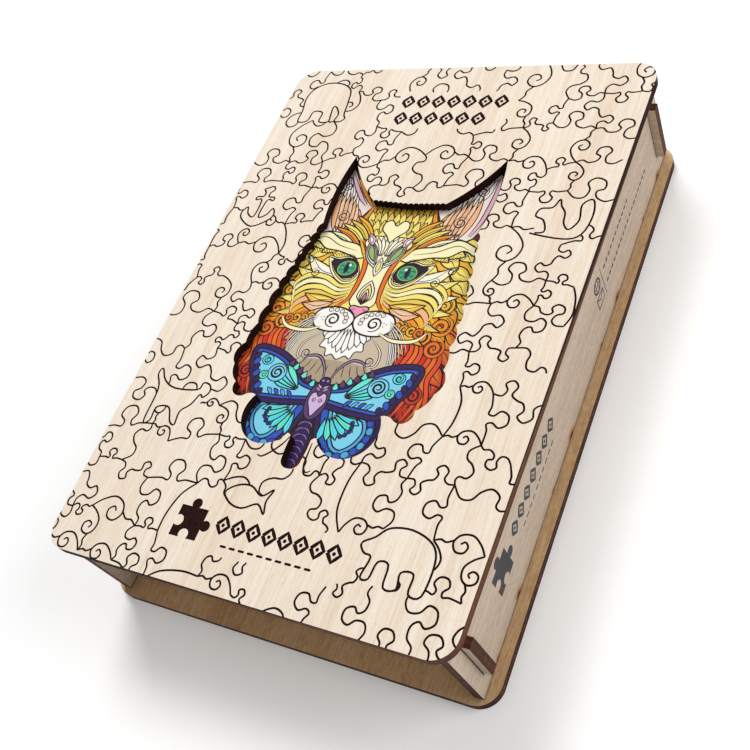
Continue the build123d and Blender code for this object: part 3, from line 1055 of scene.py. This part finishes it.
def cuttingLines():  # a line along most edges of an uneven grid
    draws = random.Random(engraving["seed"])
    columns, rows = engraving["columns"], engraving["rows"]
    stepX = 2 * lidHigh.x / mm / columns
    stepY = 2 * lidHigh.y / mm / rows
    corners = {}
    for row in range(-1, rows + 2):
        for column in range(-1, columns + 2):
            x = (column - columns / 2 + draws.uniform(-1, 1) * engraving["jitter"]) * stepX
            y = (row - rows / 2 + draws.uniform(-1, 1) * engraving["jitter"]) * stepY
            corners[column, row] = Vector((x, y))
    names = ["knob", "knob", "hook", "hook", "hook", "wave", "twoKnobs", "twoKnobs", "scroll", "scroll"]
    found = []
    drawn = np.empty((0, 2))
    for (column, row), start in corners.items():
        for across, up in ((1, 0), (0, 1)):
            end = corners.get((column + across, row + up))
            if end is None or draws.random() < engraving["missing"]:
                continue
            for attempt in range(engraving["tries"] + 2):  # until one keeps clear of the lines there
                shape = draws.choice(names) if attempt < engraving["tries"] else "bow"
                flip = draws.choice((-1, 1))
                first, last = draws.choice(((start, end), (end, start)))
                lines = [drawLine(first, last, points, flip) for points in lineShapes[shape]]
                if clear(lines, drawn, (start, end)):
                    found += lines
                    drawn = np.vstack([drawn] + [np.array([p[:] for p in line]) for line in lines])
                    break
    return found


def badgeLoop():  # a jigsaw piece: two sides with a round knob, two with a socket
    found = []
    for side, out in enumerate((-1, 1, 1, -1)):
        knob = [around((0, -4 - 0.9 * out), 1.4, 1.4 * out, 140 + 260 * n / 12) for n in range(13)]
        found += [turned(x, y, 90 * side) for x, y in [(-4, -4)] + knob]
    return found


badge = badgeLoop()


def barLoop(x, y, wide, high):  # a bar with round ends
    half, radius = wide / 2 - high / 2, high / 2
    found = []
    for end, start in ((x + half, -90), (x - half, 90)):
        found += [Vector(around((end, y), radius, radius, start + 22.5 * n)) for n in range(9)]
    return found


def barRow(start, step, y, wide, high, count):
    return [barLoop(start + step * n, y, wide, high) for n in range(count)]


# a row of lozenges is given by its start, end, height, count and size, a row of bars by its start, step,
# height, their length and thickness, and count, and a badge by its place and size
lozenge = [(-1, 0), (-0.5, -0.5), (0, -1), (0.5, -0.5), (1, 0), (0.5, 0.5), (0, 1), (-0.5, 0.5), (-1, 0)]


def lozengeRow(start, end, y, count, high):  # bold lozenges with a dot inside each
    found = []
    step = (end - start) / (count - 1)
    for n in range(count):
        x = start + step * n
        found += ribbon([Vector((x + a * high * 0.36, y + b * high * 0.42)) for a, b in lozenge], high * 0.2)
        found.append(oval((x, y), high * 0.1, high * 0.1, 0, 12))
    return found


lidOrnament = {
    "title": (-20, 24, 103.4, 7, 7.6), "subtitle": (-20, 16.7, 93.6, 6, 7.6),
    "badge": ((-26.5, -102), 1.5), "maker": (-12, 34, -100, 8, 7.2),
    "rule": (-8.2, 3.9, -107.3, 2.7, 0.9, 10),
    "legs": [  # the butterfly's legs reach over the wood
        [(-1.6, -61.5), (-3.6, -65.5), (-6.6, -69.2), (-9.8, -71.8), (-12.0, -71.4)],
        [(8.0, -63.0), (8.2, -67.5), (8.6, -72.0), (10.2, -74.4), (12.2, -73.6)],
    ],
}


def ornaments():  # two rows at the top, and a badge with a row and a rule at the bottom
    found = lozengeRow(*lidOrnament["title"]) + lozengeRow(*lidOrnament["subtitle"])
    found.append(placed(badge, *lidOrnament["badge"]))
    found += lozengeRow(*lidOrnament["maker"]) + barRow(*lidOrnament["rule"])
    for leg in lidOrnament["legs"]:
        found += ribbon(smoothPath(leg, 5), 0.8, 0.5)
    return found


def engravedLid():
    cuts = []
    for line in cuttingLines():
        for part in stretches(line):
            cuts += ribbon(part, engraving["width"], 0.9)
    for loop in figureLoops:
        for part in stretches(loop + loop[:1]):
            cuts += ribbon(part, engraving["width"])
    cuts += ornaments()
    corners, faces = covered(cuts)
    top = lidHigh.z / mm
    cutter = slab("engravingCutter", corners, faces, top - engraving["depth"], top + 0.3, [])

    lid = bpy.data.objects.new("lid_plate_engraved", nodes["lid_plate"].data.copy())
    bpy.context.scene.collection.objects.link(lid)
    pick(lid)
    bpy.ops.object.mode_set(mode="EDIT")
    bpy.ops.mesh.select_all(action="SELECT")
    bpy.ops.mesh.remove_doubles(threshold=0.001 * mm)
    closed(lid)
    cut = lid.modifiers.new("engraving", "BOOLEAN")
    cut.operation = "DIFFERENCE"
    cut.solver = "MANIFOLD"
    cut.object = cutter
    bpy.ops.object.modifier_apply(modifier=cut.name)
    bpy.data.objects.remove(cutter)
    lid.data.materials.clear()
    lid.data.materials.append(veneerLid)
    lid.data.materials.append(charred)
    reach = max(point.length for point in windowRim) + 1
    for face in lid.data.polygons:
        below = top - face.center.z / mm
        groove = 0.02 < below < engraving["depth"] + 0.05
        windowWall = abs(face.normal.z) < 0.5 and face.center.xy.length < reach * mm
        face.material_index = int(groove or windowWall)
        face.use_smooth = False
    return lid


lid = engravedLid()
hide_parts("lid_plate")
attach(lid, "lid")
print("lid engraved:", len(lid.data.polygons), "faces")


# the print on the right wall

sidePrint = {
    "depth": 0.04, "badge": ((-84, 25), 1.55), "lozenges": (-69, -29, 27.7, 7, 6.8),
    "rules": [(-64, 3.5, 20.6, 2.4, 0.7, 10), (40.5, 3.2, 28.2, 2.2, 1.1, 11),
              (40.5, 3.2, 20.4, 2.2, 1.1, 18)],
    "globe": (31, 28), "envelope": (31, 20.5),
}
greyInk = inkMaterial()


def wallPrint(name, loops):  # loops in the wall's own plane: Y along it, Z up
    corners, faces = covered(loops)
    piece = slab(name, corners, faces, 0.0, sidePrint["depth"], [greyInk])
    for vertex in piece.data.vertices:  # the sheet stands up against the wall
        y, z, out = vertex.co
        vertex.co = (wallHigh.x + out, y, z)
    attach(piece, "base")


def drawnLines(place, lines):  # ribbons about a place, from (width, points)
    found = []
    for width, points in lines:
        found += ribbon(placed(points, place, 1.0), width)
    return found


globe = sidePrint["globe"]
icons = ribbon(oval(globe, 3.1, 3.1) + oval(globe, 3.1, 3.1)[:2], 0.9)
icons += drawnLines(globe, [(0.6, [(-3, 0), (3, 0)])]) + ribbon(oval(globe, 1.3, 3.1), 0.5)
icons += drawnLines(sidePrint["envelope"], [
    (0.7, [(-3.4, -2.5), (3.4, -2.5), (3.4, 2.5), (-3.4, 2.5), (-3.4, -2.5)]),
    (0.6, [(-3.2, 2.2), (0, -0.3), (3.2, 2.2)]),
    (0.35, [(5.6, -3.5), (5.6, 11.0)]),
])
titleRule, upperRule, lowerRule = [barRow(*rule) for rule in sidePrint["rules"]]
wallPrint("side_badge", [placed(badge, *sidePrint["badge"])])
wallPrint("side_title_ornament", lozengeRow(*sidePrint["lozenges"]) + titleRule)
wallPrint("side_icons", icons)
wallPrint("side_rules", upperRule + lowerRule)
print("side wall printed")


# the floor, the lights and the camera

studio = {
    "floor": 6.0, "floorGlow": 0.2, "world": 0.3,
    "lamps": {"keyLight": ((-1.1, 1.6, 2.6), 1.3, 61.0), "fillLight": ((1.7, 0.6, 1.25), 1.2, 20.0)},
    "lens": 48.33, "eye": (0.20066, -0.18116, 0.32672), "look": (35.017, 21.268, 23.041),
}


def floorMaterial():
    glow = {"Emission Color": (1, 1, 1), "Emission Strength": studio["floorGlow"]}
    recipe = Recipe("paleFloor", **{"Roughness": 0.85, "Specular IOR Level": 0.2}, **glow)
    haze = recipe.noise(recipe.where(), (0.004, 0.004, 0.004), 2, 0.5)
    recipe.finish({"Base Color": recipe.mix(haze, linear(246, 246, 246), linear(252, 252, 252))})
    return recipe.material


deselectAll()
bpy.ops.mesh.primitive_plane_add(size=studio["floor"], location=(0, 0, -0.2 * mm))
floor = bpy.context.active_object
floor.name = "floor"
floor.data.materials.append(floorMaterial())

world = bpy.data.worlds.new("softRoom")
world.use_nodes = True
world.node_tree.nodes["Background"].inputs["Color"].default_value = (1, 1, 1, 1)
world.node_tree.nodes["Background"].inputs["Strength"].default_value = studio["world"]
bpy.context.scene.world = world

for name, (place, size, watts) in studio["lamps"].items():
    light = bpy.data.lights.new(name, "AREA")
    light.size = size
    light.energy = watts
    lamp = bpy.data.objects.new(name, light)
    bpy.context.scene.collection.objects.link(lamp)
    lamp.location = place
    lamp.rotation_euler = Vector(place).to_track_quat("Z", "Y").to_euler()

lens = bpy.data.cameras.new("camera")
lens.lens = studio["lens"]
camera = bpy.data.objects.new("camera", lens)
bpy.context.scene.collection.objects.link(camera)
camera.location = studio["eye"]
camera.rotation_euler = [math.radians(angle) for angle in studio["look"]]
bpy.context.scene.camera = camera
bpy.context.scene.view_settings.view_transform = "Standard"
print("studio ready")
